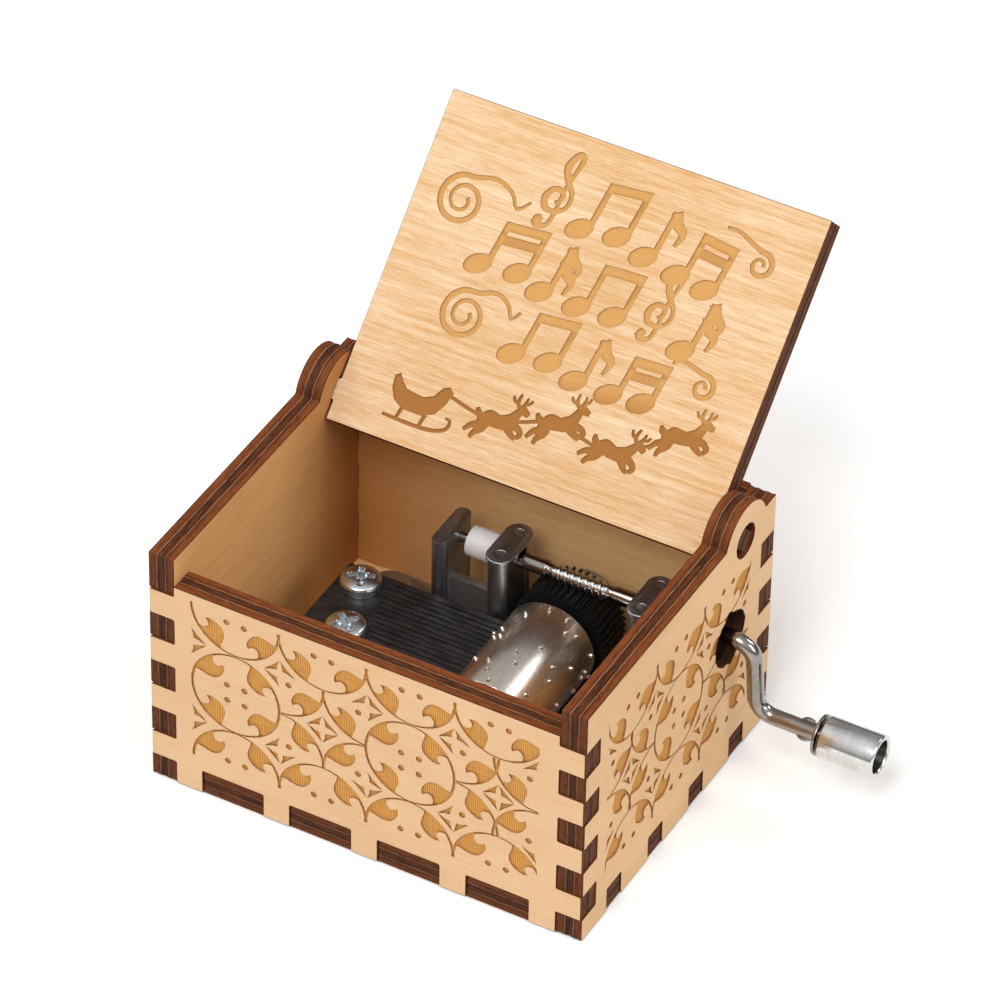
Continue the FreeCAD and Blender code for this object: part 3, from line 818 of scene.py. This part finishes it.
def sleigh(x, y):
    shapes = [[Vector((x + px, y + py)) for px, py in (
        (-4.6, 2.4), (-3.9, 2.9), (-3.2, 2.0), (-2.3, 1.2), (0.2, 0.9), (1.6, 1.5), (2.4, 2.9), (3.3, 3.3),
        (4.1, 2.7), (3.6, 1.0), (2.6, -0.7), (0.8, -1.5), (-2.1, -1.5), (-3.6, -0.6), (-4.4, 0.8))]]
    shapes.append(brush([(x - 4.4, y - 2.9), (x - 1.0, y - 3.0), (x + 2.4, y - 2.9), (x + 4.6, y - 2.2),
                         (x + 5.0, y - 1.0), (x + 4.2, y - 0.7)], (0.4, 0.55, 0.55, 0.55, 0.5, 0.3)))
    for foot in (-2.0, 1.4):
        shapes.append(brush([(x + foot, y - 1.2), (x + foot - 0.4, y - 2.9)], (0.6, 0.5)))
    return shapes


def leaning(shapes, base, lean=0.16):
    return [[Vector((p.x + lean * (p.y - base), p.y)) for p in shape] for shape in shapes]


def lidArt():
    # places are measured from the lid's left edge and its far edge
    shapes = leaning(clef(19.2, -8.9, 0.92) + pairOfNotes(24.2, -11.9, 5.2, 0.6, 6.9) + note(34.0, -12.6, 7.0, 1)
                     + pairOfNotes(39.2, -13.4, 4.6, -0.6, 6.4, 2), -9)
    shapes += leaning(pairOfNotes(12.6, -20.6, 5.6, 0.5, 6.4, 2) + note(22.2, -21.4, 6.9, 2)
                      + pairOfNotes(27.8, -21.6, 5.2, 0.3, 6.4) + clef(38.4, -18.6, 0.86)
                      + note(43.6, -22.4, 7.2, 2), -18)
    shapes += leaning(pairOfNotes(21.6, -30.2, 5.2, 0.5, 6.2) + note(31.2, -30.8, 6.4, 1)
                      + pairOfNotes(36.4, -30.9, 4.6, 0.3, 5.8, 2), -27)
    for centre, size, start, turns, lead in (
            ((6.9, -13.5), 3.6, 75, 1.9, [(16.2, -10.8), (14.6, -12.2), (13.2, -10.4), (10.6, -9.4)]),
            ((13.0, -27.6), 3.5, 75, 1.9, [(20.4, -24.8), (19.4, -26.0), (18.4, -24.4), (16.4, -23.5)]),
            ((49.0, -8.6), 1.9, 105, -1.3, [(43.0, -5.2), (44.8, -5.3), (46.6, -6.0)]),
            ((47.6, -26.0), 1.8, 105, -1.3, [(42.6, -24.2), (43.9, -23.6), (45.4, -23.8)])):
        shapes.append(curl(centre, size, start, turns, lead))
    shapes += sleigh(11.6, -40.4)
    for x, y, lift in ((22.8, -39.4, 4), (31.0, -37.0, 12), (39.2, -38.0, -6), (47.6, -33.2, 8)):
        shapes += deer(x, y, 0.88, lift)
    shapes.append(brush([(15.4, -38.2), (22.2, -39.2), (30.6, -36.8), (38.9, -37.8), (47.0, -33.0)],
                        (0.5, 0.5, 0.5, 0.5)))
    return [[p + Vector((lid["left"], lid["far"])) for p in shape] for shape in shapes]


def makeLid(edge):
    fill = engravedFloor("lid", (0.6, 0.33, 0.112), (0.45, 0.215, 0.06), (0.3, 0.125, 0.038),
                         lid["hatchPitch"], lid["darkBelow"])
    groove = grooveSide("lid", (0.33, 0.15, 0.055), (0.19, 0.075, 0.024))
    inner = birchFace("lid", birch["lid"], (11, 130, 2))
    outer = birchFace("lid_top", birch["front"], (70, 90, 5))
    across = Vector((1, 0, 0))
    up = Matrix.Rotation(-math.radians(box["lidOpen"]), 4, "X") @ Vector((0, -1, 0))
    outward = across.cross(up)
    origin = Vector((0, box["hingeY"], box["hingeZ"])) + outward * box["ply"] / 2
    place = boardPlace(origin, across, up)
    loops = heldLoops("lid", place, everywhere, everywhere, lid["cornerRound"])
    board = buildBoard("lid_board", place, loops, [inner, edge, fill, groove, outer], lidArt(), lid["carveDepth"])
    putOn(board, "lid", "birch_ply", "lid")


# metals, plastic and nylon
def metalFinish(name, base, rough, vary, bump, worn=None, grain=(1, 1, 1), scale=1.2):
    material, tree, shader = newMaterial(name, rough, 1.0)
    spot = vectorNode(tree, "MULTIPLY", objectSpot(tree), grain)
    mottle = noise(tree, spot, scale, 4.0, 0.6)
    fine = noise(tree, spot, scale * 5, 3.0)
    colour = blendColour(tree, spread(tree, mottle, 0.35, 0.68, 0.0, 0.8), base, tuple(0.72 * v for v in base))
    if worn:
        point = addNode(tree, "NewGeometry").outputs["Pointiness"]
        colour = blendColour(tree, spread(tree, point, 0.52, 0.6, 0.0, 0.8), colour, worn)
    paint(tree, shader, colour, spread(tree, mottle, 0.3, 0.7, rough - vary, rough + vary))
    bumped(tree, shader, fine, bump, 0.03)
    return material


def combSteel():
    material, tree, shader = newMaterial("comb_steel", rough=0.42, metal=0.75)
    spot = objectSpot(tree)
    lines = streaky(tree, spot, (0.25, 6.0, 1.0))
    mottle = noise(tree, spot, 0.6, 3.0)
    colour = blendColour(tree, spread(tree, mottle, 0.35, 0.65), (0.06, 0.056, 0.055), (0.036, 0.034, 0.034))
    colour = blendColour(tree, spread(tree, lines, 0.48, 0.72, 0.0, 0.4), colour, (0.115, 0.11, 0.108))
    paint(tree, shader, colour, spread(tree, lines, 0.3, 0.7, 0.34, 0.5))
    bumped(tree, shader, lines, 0.25, 0.03)
    return material


def nylonFinish():
    material, tree, shader = newMaterial("milky_nylon", rough=0.35)
    haze = noise(tree, objectSpot(tree), 0.9, 2.0)
    colour = blendColour(tree, haze, (0.6, 0.585, 0.58), (0.5, 0.49, 0.49))
    shader.inputs["Subsurface Weight"].default_value = 0.5
    shader.inputs["Subsurface Radius"].default_value = (1.0, 0.95, 0.9)
    shader.inputs["Subsurface Scale"].default_value = 0.0015
    paint(tree, shader, colour, spread(tree, haze, 0.3, 0.7, 0.28, 0.42))
    return material


def blackPlastic():
    material, tree, shader = newMaterial("black_plastic", rough=0.36)
    cloud = noise(tree, objectSpot(tree), 1.4, 3.0)
    colour = blendColour(tree, cloud, (0.004, 0.004, 0.004), (0.009, 0.009, 0.009))
    paint(tree, shader, colour, spread(tree, cloud, 0.3, 0.7, 0.38, 0.55), 0.25)
    bumped(tree, shader, cloud, 0.2, 0.03)
    return material


# mesh helpers for turned and formed metal
def addMesh(name, shape, material, sharp=35):
    points, faces = shape
    mesh = bpy.data.meshes.new(name)
    mesh.from_pydata([Vector(p) * mm for p in points], [], faces)
    mesh.materials.append(material)
    mesh.shade_smooth()
    mesh.set_sharp_from_angle(angle=math.radians(sharp))
    return linked(name, mesh)


def loft(shape, rings, closeStart=True, closeEnd=True):
    points, faces = shape
    start = len(points)
    count = len(rings[0])
    for ring in rings:
        points += ring
    for r in range(len(rings) - 1):
        for k in range(count):
            a, b = start + r * count + k, start + r * count + (k + 1) % count
            faces.append((a, b, b + count, a + count))
    if closeStart:
        faces.append(tuple(start + k for k in reversed(range(count))))
    if closeEnd:
        faces.append(tuple(start + (len(rings) - 1) * count + k for k in range(count)))


def turned(shape, profile, origin, axis, steps=64, closeStart=True, closeEnd=True):
    # revolve (along, radius) pairs about an axis through origin
    axis = Vector(axis).normalized()
    one = axis.orthogonal().normalized()
    two = axis.cross(one)
    rays = [one * math.cos(a) + two * math.sin(a) for a in circle(steps)]
    rings = [[tuple(Vector(origin) + axis * along + out * max(radius, 0.001)) for out in rays]
             for along, radius in profile]
    loft(shape, rings, closeStart, closeEnd)


def softEdge(profile, size=0.12, steps=3):
    # rounds the inner corners of an (along, radius) outline
    line = [Vector(p) for p in profile]
    out = [line[0]]
    for a, b, c in zip(line, line[1:], line[2:]):
        cut = min(size, 0.45 * (b - a).length, 0.45 * (c - b).length)
        p, q = b + (a - b).normalized() * cut, b + (c - b).normalized() * cut
        for t in [k / steps for k in range(steps + 1)]:
            out.append(p * (1 - t) ** 2 + b * 2 * t * (1 - t) + q * t * t)
    return [tuple(p) for p in out + [line[-1]]]


def spunPiece(name, outline, edge, middle, axis, steps, material, closed=False):
    shape = [], []
    turned(shape, softEdge(outline, edge), middle, axis, steps, closed, closed)
    return addMesh(name, shape, material)


def sleeve(start, end, inner, outer):
    return [(start, inner), (start, outer), (end, outer), (end, inner), (start, inner)]


def tubeAlong(shape, path, radii, steps):
    rings = []
    side = None
    for i, (p, size) in enumerate(zip(path, radii)):
        ahead = (path[min(i + 1, len(path) - 1)] - path[max(i - 1, 0)]).normalized()
        side = (side - ahead * side.dot(ahead) if side else ahead.orthogonal()).normalized()
        up = ahead.cross(side)
        rings.append([tuple(p + (side * math.cos(a) + up * math.sin(a)) * size) for a in circle(steps)])
    loft(shape, rings)


def filleted(corners, radius, steps=12):
    # straight runs joined by round bends
    path = [Vector(corners[0])]
    for a, b, c in zip(corners, corners[1:], corners[2:]):
        a, b, c = Vector(a), Vector(b), Vector(c)
        into, away = (b - a).normalized(), (c - b).normalized()
        turn = into.angle(away)
        cut = radius * math.tan(turn / 2)
        start = b - into * cut
        inward = (away - into * away.dot(into)).normalized()
        centre = start + inward * radius
        for k in range(steps + 1):
            angle = turn * k / steps
            path.append(centre - inward * radius * math.cos(angle) + into * radius * math.sin(angle))
    return path + [Vector(corners[-1])]


def softened(nodeName, pieceName, material, bevel=0.12, segments=2, angle=32):
    # the node's own shape with its flats merged and its edges broken
    data = nodes[nodeName].data
    mesh = bpy.data.meshes.new(pieceName)
    mesh.from_pydata([v.co.copy() for v in data.vertices], [], [tuple(p.vertices) for p in data.polygons])
    shape = bmesh.new()
    shape.from_mesh(mesh)
    bmesh.ops.remove_doubles(shape, verts=shape.verts, dist=0.002 * mm)
    bmesh.ops.dissolve_limit(shape, angle_limit=math.radians(1.5), verts=shape.verts, edges=shape.edges)
    shape.to_mesh(mesh)
    shape.free()
    mesh.materials.append(material)
    mesh.shade_smooth()
    mesh.set_sharp_from_angle(angle=math.radians(angle))
    piece = linked(pieceName, mesh)
    if bevel:
        rounding = piece.modifiers.new("broken_edges", "BEVEL")
        rounding.width = bevel * mm
        rounding.segments = segments
        rounding.limit_method = "ANGLE"
        rounding.angle_limit = math.radians(angle)
        rounding.harden_normals = True
    return piece


# movement: frame, comb and bearings
movement = dict(castBevel=0.22, capBevel=0.15, combBevel=0.05, weightBevel=0.06, screwBevel=0.05)
screwHead = dict(places=((-18.1, 4.95), (-15.2, -4.05)), turns=(24, 51), under=15.6, radius=2.8, tall=2.0,
                 shank=1.25, end=9.6, armLong=1.95, armWide=0.42, recess=1.1, around=96, domeRings=30)


def makeMovement():
    frameMetal = metalFinish("cast_frame", (0.3, 0.305, 0.315), 0.38, 0.09, 0.35, (0.62, 0.63, 0.65))
    capMetal = metalFinish("bearing_cap", (0.27, 0.28, 0.29), 0.38, 0.08, 0.25, (0.55, 0.56, 0.58))
    zinc = metalFinish("zinc_screw", (0.66, 0.71, 0.76), 0.26, 0.08, 0.8)
    lead = metalFinish("lead_weight", (0.3, 0.3, 0.31), 0.55, 0.08, 0.3)
    m = movement
    for node, name, finish, slot, bevel, segments in (
            ("movement_frame", "cast_bedplate", frameMetal, "die_cast", m["castBevel"], 2),
            ("mid_bearing_cap", "mid_cap", capMetal, "die_cast", m["capBevel"], 2),
            ("end_bearing_cap", "end_cap", capMetal, "die_cast", m["capBevel"], 2),
            ("comb", "tuned_comb", combSteel(), "comb_steel", m["combBevel"], 2),
            ("bass_weights", "lead_weights", lead, "lead", m["weightBevel"], 1),
            ("base_screws", "wood_screws", zinc, "zinc_plate", m["screwBevel"], 1)):
        putOn(softened(node, name, finish, bevel, segments), "root", slot, node)
    makeCombScrews(zinc)


def crossDepth(u, v):
    # how deep the pressed cross is at a place on the head
    s = screwHead
    narrow, far = min(abs(u), abs(v)), max(abs(u), abs(v))
    inCross = min(max((s["armWide"] + 0.1 * (1.7 - far) - narrow) / 0.14, 0), 1)
    inCross *= min(max((s["armLong"] - far) / 0.25, 0), 1)
    return s["recess"] * inCross * (1 - 0.45 * far / s["armLong"])


def makeCombScrews(material):
    shape = [], []
    s = screwHead
    edge = s["radius"] - 0.12
    rim = s["under"] + s["tall"] * 0.7
    side = softEdge([(s["end"], s["shank"] - 0.35), (s["end"] + 0.5, s["shank"]), (s["under"], s["shank"]),
                     (s["under"], s["radius"] - 0.05), (s["under"] + 0.15, s["radius"]),
                     (rim - 0.25, s["radius"]), (rim, edge)], 0.1)
    for (x, y), turn in zip(s["places"], s["turns"]):
        turned(shape, side, (x, y, 0), (0, 0, 1), s["around"], True, False)
        c, w = math.cos(math.radians(turn)), math.sin(math.radians(turn))
        rings = []
        for r in range(s["domeRings"]):
            radius = edge * (1 - r / (s["domeRings"] - 1.0))
            dome = rim + (s["tall"] * 0.3) * math.sqrt(max(0, 1 - (radius / (s["radius"] - 0.1)) ** 2))
            ring = []
            for a in circle(s["around"]):
                px, py = radius * math.cos(a), radius * math.sin(a)
                ring.append((x + px, y + py, dome - crossDepth(px * c + py * w, -px * w + py * c)))
            rings.append(ring)
        loft(shape, rings, False, False)
    putOn(addMesh("comb_screw_pair", shape, material, 40), "root", "zinc_plate", "comb_screws")


# cylinder, wheel and arbor; outlines are (along, radius) pairs
drum = dict(radius=6.42, wall=0.5, front=-9.05, back=8.75, edge=0.1, capBevel=0.1,
            combFront=-8.75, toothPitch=0.95, teeth=18, pinRadius=0.27, pinReach=0.31, tuneSteps=32,
            flange=[(7.55, 0.95), (7.55, 5.85), (8.76, 5.85), (8.76, 6.0), (9.2, 6.0), (9.2, 5.1),
                    (9.55, 5.1), (9.55, 4.2), (9.95, 4.2), (9.95, 0.95), (7.55, 0.95)],
            arbor=[(-13.0, 0.6), (-12.8, 0.9), (20.1, 0.9), (20.3, 0.6)])


def tune():
    # a made-up run of notes: (tooth, angle round the cylinder)
    notes = []
    for step in range(drum["tuneSteps"]):
        angle = 360.0 * step / drum["tuneSteps"]
        melody = (step * 5 + step // 8 * 3) % drum["teeth"]
        notes.append((melody, angle))
        if step % 2 == 0:
            notes.append(((melody + 7) % drum["teeth"], angle + 3))
        if step % 4 == 0:
            notes.append((drum["teeth"] - 1 - step // 4, angle + 1))
    return notes


def makeCylinder():
    nickel = metalFinish("nickel_cylinder", (0.9, 0.84, 0.76), 0.29, 0.05, 0.12, grain=(1, 0.2, 1), scale=2.0)
    flangeMetal = metalFinish("cylinder_flange", (0.26, 0.265, 0.27), 0.32, 0.06, 0.2)
    arborSteel = metalFinish("arbor_steel", (0.6, 0.6, 0.6), 0.25, 0.05, 0.1)
    d = drum
    middle, axis = (wheel["x"], 0, wheel["z"]), (0, 1, 0)
    shape = [], []
    shell = sleeve(d["front"], d["back"], d["radius"] - d["wall"], d["radius"])
    turned(shape, softEdge(shell, d["edge"]), middle, axis, 160, False, False)
    r, tip = d["pinRadius"], d["pinReach"]
    pin = [(-0.1, r + 0.1), (0.0, r + 0.07), (0.06, r + 0.02), (tip - 0.07, r), (tip, r - 0.05),
           (tip - 0.03, 0.14), (0.1, 0.1), (0.08, 0.0)]
    for tooth, turn in tune():
        y = d["combFront"] + (tooth + 0.5) * d["toothPitch"]
        out = Vector((math.sin(math.radians(turn)), 0, math.cos(math.radians(turn))))
        foot = Vector((wheel["x"], y, wheel["z"])) + out * d["radius"]
        turned(shape, pin, foot, out, 12, False, True)
    putOn(addMesh("pinned_cylinder", shape, nickel, 40), "cylinder", "nickel", "cylinder_shell")
    cap = softened("cylinder_front_cap", "cylinder_end", nickel, d["capBevel"])
    putOn(cap, "cylinder", "nickel", "cylinder_front_cap")
    flange = spunPiece("stepped_flange", d["flange"], 0.08, middle, axis, 128, flangeMetal)
    putOn(flange, "cylinder", "die_cast", "cylinder_flange")
    arbor = spunPiece("cylinder_pin", d["arbor"], 0.1, middle, axis, 32, arborSteel, True)
    putOn(arbor, "cylinder", "chrome_steel", "cylinder_arbor")
    gear = softened("worm_wheel", "black_worm_wheel", blackPlastic(), 0.0)
    putOn(gear, "cylinder", "black_plastic", "worm_wheel")


# crank: worm shaft, bent arm and knob
crank = dict(x=35.6, armY=1.3, drop=12.0, bend=2.8, pinStart=-9.3, rodStart=-6.4, pinRadius=0.7, rodEnd=48.88,
             crest=1.3, root=0.92, turns=10, pitch=1.0132, wormStart=6.0, wormEnd=14.3, ridgeHalf=0.24,
             flank=0.13, earStart=41.9, earEnd=44.3, earReach=1.62, earThick=0.8, earTilt=44.0,
             clinch=1.75, clinchThick=0.8, bore=1.16, bushStart=-6.4, bushEnd=-2.4, bushRadius=2.1)
knob = dict(y=14.95, z=10.2, start=45.8, end=53.9, radius=3.0, bore=2.27, floor=2.2, hole=1.2,
            washerStart=45.0, washerThick=0.4, washerRadius=2.85)


def addEars(shape):
    # flattened swell that keeps the knob from sliding up the arm
    c = crank
    tilt = Matrix.Rotation(math.radians(c["earTilt"]), 3, "X")
    rings = []
    neck = shaft["radius"] * 0.7
    for k in range(13):
        t = k / 12
        bulge = math.sin(math.pi * t) ** 0.45
        reach = neck + (c["earReach"] - neck) * bulge
        half = c["earThick"] / 2 * (0.75 + 0.25 * bulge)
        middle = Vector((c["earStart"] + (c["earEnd"] - c["earStart"]) * t, knob["y"], knob["z"]))
        ring = []
        for a in circle(24):
            px = math.copysign(abs(math.cos(a)) ** 0.6, math.cos(a)) * reach
            py = math.copysign(abs(math.sin(a)) ** 0.6, math.sin(a)) * half
            ring.append(tuple(middle + tilt @ Vector((0, px, py))))
        rings.append(ring)
    loft(shape, rings)


def makeWorm(material):
    # worm thread as one ridge round the core
    c = crank
    ridgeStart = wheel["x"] - c["turns"] / 2 * c["pitch"]
    along = 14 * c["turns"]
    rings = []
    for i in range(along + 1):
        x = c["wormStart"] + (c["wormEnd"] - c["wormStart"]) * i / along
        fade = 0.6 * c["pitch"]
        ends = max(0.0, min(1.0, (x - c["wormStart"]) / fade, (c["wormEnd"] - x) / fade))
        ring = []
        for a in circle(40):
            phase = ((x - ridgeStart) / c["pitch"] - a / (2 * math.pi)) % 1.0
            off = min(phase, 1 - phase) * c["pitch"]
            ridge = min(max((c["ridgeHalf"] - off) / c["flank"], 0), 1)
            radius = c["root"] + (c["crest"] - c["root"]) * ridge * ends
            ring.append((x, shaft["y"] + radius * math.sin(a), shaft["z"] - radius * math.cos(a)))
        rings.append(ring)
    shape = [], []
    loft(shape, rings)
    putOn(addMesh("worm_thread", shape, material, 50), "crank", "chrome_steel")


def makeCrank():
    chrome = metalFinish("chrome_rod", (0.35, 0.315, 0.29), 0.15, 0.03, 0.05)
    brushed = metalFinish("chrome_knob", (0.7, 0.695, 0.68), 0.15, 0.03, 0.02, grain=(1, 0.4, 0.4), scale=0.8)
    worm = metalFinish("worm_steel", (0.66, 0.65, 0.63), 0.18, 0.05, 0.1)
    c, k = crank, knob
    shape = [], []
    y, z, rod = shaft["y"], shaft["z"], shaft["radius"]
    onShaft, onKnob, axis = (0, y, z), (0, k["y"], k["z"]), (1, 0, 0)
    start, end = c["wormStart"], c["wormEnd"]
    turned(shape, softEdge([(c["pinStart"], 0.45), (c["pinStart"] + 0.25, c["pinRadius"]),
                                    (c["rodStart"], c["pinRadius"]), (c["rodStart"], rod), (start - 0.9, rod),
                                    (start - 0.6, c["root"]), (start, c["root"])], 0.1), onShaft, axis, 40)
    path = filleted([(end, y, z), (c["x"], y, z), (c["x"], y + c["armY"], z - c["drop"]),
                     (c["rodEnd"], y + c["armY"], z - c["drop"])], c["bend"])
    path = path[:1] + [Vector((end + 0.6, y, z)), Vector((end + 0.9, y, z))] + path[1:]
    tubeAlong(shape, path, [c["root"], c["root"]] + [rod] * (len(path) - 2), 40)
    addEars(shape)
    # clinched end that holds the knob
    seat = k["start"] + k["floor"]
    top = seat + c["clinchThick"]
    turned(shape, softEdge([(seat, 1.0), (seat, c["clinch"]), (top, 1.5), (top, 0.0)], 0.3),
           onKnob, axis, 40)
    putOn(addMesh("crank_arm", shape, chrome, 40), "crank", "chrome_steel", "crank_rod")
    makeWorm(worm)
    bush = sleeve(c["bushStart"], c["bushEnd"], c["bore"], c["bushRadius"])
    putOn(spunPiece("nylon_bush", bush, 0.22, onShaft, axis, 64, nylonFinish()), "crank", "nylon", "shaft_bush")
    washer = sleeve(k["washerStart"], k["washerStart"] + k["washerThick"], c["bore"], k["washerRadius"])
    disc = spunPiece("thin_washer", washer, 0.08, onKnob, axis, 96, chrome)
    putOn(disc, "crank", "chrome_steel", "knob_washer")
    barrel = [(k["start"], k["hole"]), (k["start"], 2.75), (k["start"] + 0.25, k["radius"]),
              (k["end"] - 0.2, k["radius"]), (k["end"], k["radius"] - 0.2), (k["end"], k["bore"] + 0.15),
              (k["end"] - 0.2, k["bore"]), (seat, k["bore"]), (seat, k["hole"]), (k["start"], k["hole"])]
    grip = spunPiece("knob_sleeve", barrel, 0.07, onKnob, axis, 128, brushed)
    putOn(grip, "knob", "chrome_steel", "knob_barrel")


# build it all
bpy.context.scene.view_settings.view_transform = "Standard"
bpy.context.scene.view_settings.exposure = stage["exposure"]
makeCamera()
makeSky()
for name, place, size, power in stage["lights"]:
    makeSoftbox(name, place, size, power)
makeFloor()
print("stage set")
edgeMaterial = makeWalls()
print("walls engraved")
makeLid(edgeMaterial)
print("lid engraved")
makeMovement()
print("movement in place")
makeCylinder()
print("cylinder pinned")
makeCrank()
print("crank bent")
